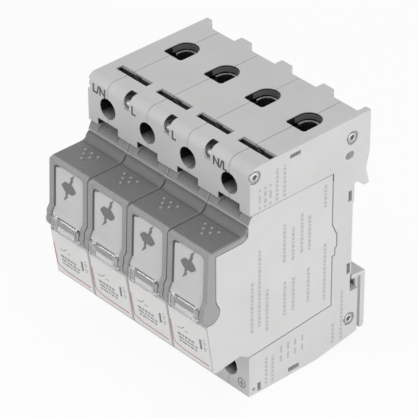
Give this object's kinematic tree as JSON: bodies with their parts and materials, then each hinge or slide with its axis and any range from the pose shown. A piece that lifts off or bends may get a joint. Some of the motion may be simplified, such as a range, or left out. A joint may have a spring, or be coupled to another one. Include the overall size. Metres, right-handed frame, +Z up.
{
  "type": "din rail surge arrester",
  "caption": "Plug-in surge arrester for a 35 mm rail: riveted base with cage terminals and sprung clip, cassettes with swinging handles and clear label flaps.",
  "frame": {"origin": "centre of the footprint of the whole object, at the underside of the base", "axes": "X along the rail, -Y towards the front with the handles, +Z up towards the line terminals"},
  "size_m": [0.0712, 0.0662, 0.081],
  "materials": {
    "base_plastic": "fine moulded",
    "cassette_plastic": "fine moulded",
    "clip_plastic": "fine moulded",
    "handle_plastic": "spark-eroded grain",
    "clear_plastic": "clear",
    "rivet_steel": "bright zinc",
    "zinc_steel": "zinc",
    "spring_steel": "drawn wire",
    "tinned_brass": "stamped strip",
    "blade_copper": "stamped strip",
    "varistor_coating": "dipped resin",
    "flag_green": "moulded"
  },
  "bodies": {
    "base": {"base_shell_1": "base_plastic", "base_shell_2": "base_plastic", "base_shell_3": "base_plastic", "base_shell_4": "base_plastic", "base_shell_5": "base_plastic", "rivet_front": "rivet_steel", "rivet_rear": "rivet_steel", "rivet_low_left": "rivet_steel", "rivet_low_right": "rivet_steel", "line_contact_1": "tinned_brass", "line_contact_2": "tinned_brass", "line_contact_3": "tinned_brass", "line_contact_4": "tinned_brass", "earth_bus": "tinned_brass"},
    "clip": {"din_clip": "clip_plastic", "clip_spring": "spring_steel"},
    "terminal_screw_1": {"terminal_screw_1": "zinc_steel"},
    "terminal_cage_1": {"terminal_cage_1": "zinc_steel"},
    "terminal_screw_2": {"terminal_screw_2": "zinc_steel"},
    "terminal_cage_2": {"terminal_cage_2": "zinc_steel"},
    "terminal_screw_3": {"terminal_screw_3": "zinc_steel"},
    "terminal_cage_3": {"terminal_cage_3": "zinc_steel"},
    "terminal_screw_4": {"terminal_screw_4": "zinc_steel"},
    "terminal_cage_4": {"terminal_cage_4": "zinc_steel"},
    "earth_screw": {"earth_screw": "zinc_steel"},
    "earth_cage": {"earth_cage": "zinc_steel"},
    "cassette_1": {"cassette_1_body": "cassette_plastic", "cassette_1_cover": "cassette_plastic", "cassette_1_varistor": "varistor_coating", "cassette_1_line_blade": "blade_copper", "cassette_1_earth_blade": "blade_copper"},
    "handle_1": {"cassette_1_handle": "handle_plastic"},
    "label_flap_1": {"cassette_1_label_flap": "clear_plastic"},
    "status_flag_1": {"cassette_1_status_flag": "flag_green"},
    "cassette_2": {"cassette_2_body": "cassette_plastic", "cassette_2_cover": "cassette_plastic", "cassette_2_varistor": "varistor_coating", "cassette_2_line_blade": "blade_copper", "cassette_2_earth_blade": "blade_copper"},
    "handle_2": {"cassette_2_handle": "handle_plastic"},
    "label_flap_2": {"cassette_2_label_flap": "clear_plastic"},
    "status_flag_2": {"cassette_2_status_flag": "flag_green"},
    "cassette_3": {"cassette_3_body": "cassette_plastic", "cassette_3_cover": "cassette_plastic", "cassette_3_varistor": "varistor_coating", "cassette_3_line_blade": "blade_copper", "cassette_3_earth_blade": "blade_copper"},
    "handle_3": {"cassette_3_handle": "handle_plastic"},
    "label_flap_3": {"cassette_3_label_flap": "clear_plastic"},
    "status_flag_3": {"cassette_3_status_flag": "flag_green"},
    "cassette_4": {"cassette_4_body": "cassette_plastic", "cassette_4_cover": "cassette_plastic", "cassette_4_varistor": "varistor_coating", "cassette_4_line_blade": "blade_copper", "cassette_4_earth_blade": "blade_copper"},
    "handle_4": {"cassette_4_handle": "handle_plastic"},
    "label_flap_4": {"cassette_4_label_flap": "clear_plastic"},
    "status_flag_4": {"cassette_4_status_flag": "flag_green"}
  },
  "joints": [
    {"name": "clip_release", "type": "slide", "parent": "base", "child": "clip", "axis": [0, 0, -1], "range_m": [0, 0.0036], "stiffness_N_per_m": 800, "springref_m": -0.002, "deforming": ["clip_spring"]},
    {"name": "terminal_screw_1_turn", "type": "hinge", "parent": "base", "child": "terminal_screw_1", "pos_m": [-0.0267, -0.00355, 0.0724], "axis": [0, 1, 0], "range_deg": [0, 2340]},
    {"name": "terminal_cage_1_close", "type": "slide", "parent": "base", "child": "terminal_cage_1", "axis": [0, -1, 0], "range_m": [0, 0.005]},
    {"name": "terminal_screw_2_turn", "type": "hinge", "parent": "base", "child": "terminal_screw_2", "pos_m": [-0.0089, -0.00355, 0.0724], "axis": [0, 1, 0], "range_deg": [0, 2340]},
    {"name": "terminal_cage_2_close", "type": "slide", "parent": "base", "child": "terminal_cage_2", "axis": [0, -1, 0], "range_m": [0, 0.005]},
    {"name": "terminal_screw_3_turn", "type": "hinge", "parent": "base", "child": "terminal_screw_3", "pos_m": [0.0089, -0.00355, 0.0724], "axis": [0, 1, 0], "range_deg": [0, 2340]},
    {"name": "terminal_cage_3_close", "type": "slide", "parent": "base", "child": "terminal_cage_3", "axis": [0, -1, 0], "range_m": [0, 0.005]},
    {"name": "terminal_screw_4_turn", "type": "hinge", "parent": "base", "child": "terminal_screw_4", "pos_m": [0.0267, -0.00355, 0.0724], "axis": [0, 1, 0], "range_deg": [0, 2340]},
    {"name": "terminal_cage_4_close", "type": "slide", "parent": "base", "child": "terminal_cage_4", "axis": [0, -1, 0], "range_m": [0, 0.005]},
    {"name": "earth_screw_turn", "type": "hinge", "parent": "base", "child": "earth_screw", "pos_m": [0.0267, -0.00355, 0.0077], "axis": [0, 1, 0], "range_deg": [0, 2340]},
    {"name": "earth_cage_close", "type": "slide", "parent": "base", "child": "earth_cage", "axis": [0, -1, 0], "range_m": [0, 0.005]},
    {"name": "cassette_1_pull", "type": "slide", "parent": "base", "child": "cassette_1", "axis": [0, -1, 0], "range_m": [0, 0.045]},
    {"name": "handle_1_swing", "type": "hinge", "parent": "cassette_1", "child": "handle_1", "pos_m": [-0.0267, -0.02995, 0.0373], "axis": [1, 0, 0], "range_deg": [0, 90]},
    {"name": "label_flap_1_open", "type": "hinge", "parent": "cassette_1", "child": "label_flap_1", "pos_m": [-0.0267, -0.0319, 0.035], "axis": [1, 0, 0], "range_deg": [0, 85]},
    {"name": "status_flag_1_lift", "type": "slide", "parent": "cassette_1", "child": "status_flag_1", "axis": [0, 0, 1], "range_m": [0, 0.004]},
    {"name": "cassette_2_pull", "type": "slide", "parent": "base", "child": "cassette_2", "axis": [0, -1, 0], "range_m": [0, 0.045]},
    {"name": "handle_2_swing", "type": "hinge", "parent": "cassette_2", "child": "handle_2", "pos_m": [-0.0089, -0.02995, 0.0373], "axis": [1, 0, 0], "range_deg": [0, 90]},
    {"name": "label_flap_2_open", "type": "hinge", "parent": "cassette_2", "child": "label_flap_2", "pos_m": [-0.0089, -0.0319, 0.035], "axis": [1, 0, 0], "range_deg": [0, 85]},
    {"name": "status_flag_2_lift", "type": "slide", "parent": "cassette_2", "child": "status_flag_2", "axis": [0, 0, 1], "range_m": [0, 0.004]},
    {"name": "cassette_3_pull", "type": "slide", "parent": "base", "child": "cassette_3", "axis": [0, -1, 0], "range_m": [0, 0.045]},
    {"name": "handle_3_swing", "type": "hinge", "parent": "cassette_3", "child": "handle_3", "pos_m": [0.0089, -0.02995, 0.0373], "axis": [1, 0, 0], "range_deg": [0, 90]},
    {"name": "label_flap_3_open", "type": "hinge", "parent": "cassette_3", "child": "label_flap_3", "pos_m": [0.0089, -0.0319, 0.035], "axis": [1, 0, 0], "range_deg": [0, 85]},
    {"name": "status_flag_3_lift", "type": "slide", "parent": "cassette_3", "child": "status_flag_3", "axis": [0, 0, 1], "range_m": [0, 0.004]},
    {"name": "cassette_4_pull", "type": "slide", "parent": "base", "child": "cassette_4", "axis": [0, -1, 0], "range_m": [0, 0.045]},
    {"name": "handle_4_swing", "type": "hinge", "parent": "cassette_4", "child": "handle_4", "pos_m": [0.0267, -0.02995, 0.0373], "axis": [1, 0, 0], "range_deg": [0, 90]},
    {"name": "label_flap_4_open", "type": "hinge", "parent": "cassette_4", "child": "label_flap_4", "pos_m": [0.0267, -0.0319, 0.035], "axis": [1, 0, 0], "range_deg": [0, 85]},
    {"name": "status_flag_4_lift", "type": "slide", "parent": "cassette_4", "child": "status_flag_4", "axis": [0, 0, 1], "range_m": [0, 0.004]}
  ],
  "couplings": [
    {"joint": "terminal_screw_1_turn", "follows": "terminal_cage_1_close", "rad_per_m": 7854},
    {"joint": "terminal_screw_2_turn", "follows": "terminal_cage_2_close", "rad_per_m": 7854},
    {"joint": "terminal_screw_3_turn", "follows": "terminal_cage_3_close", "rad_per_m": 7854},
    {"joint": "terminal_screw_4_turn", "follows": "terminal_cage_4_close", "rad_per_m": 7854},
    {"joint": "earth_screw_turn", "follows": "earth_cage_close", "rad_per_m": 7854}
  ]
}
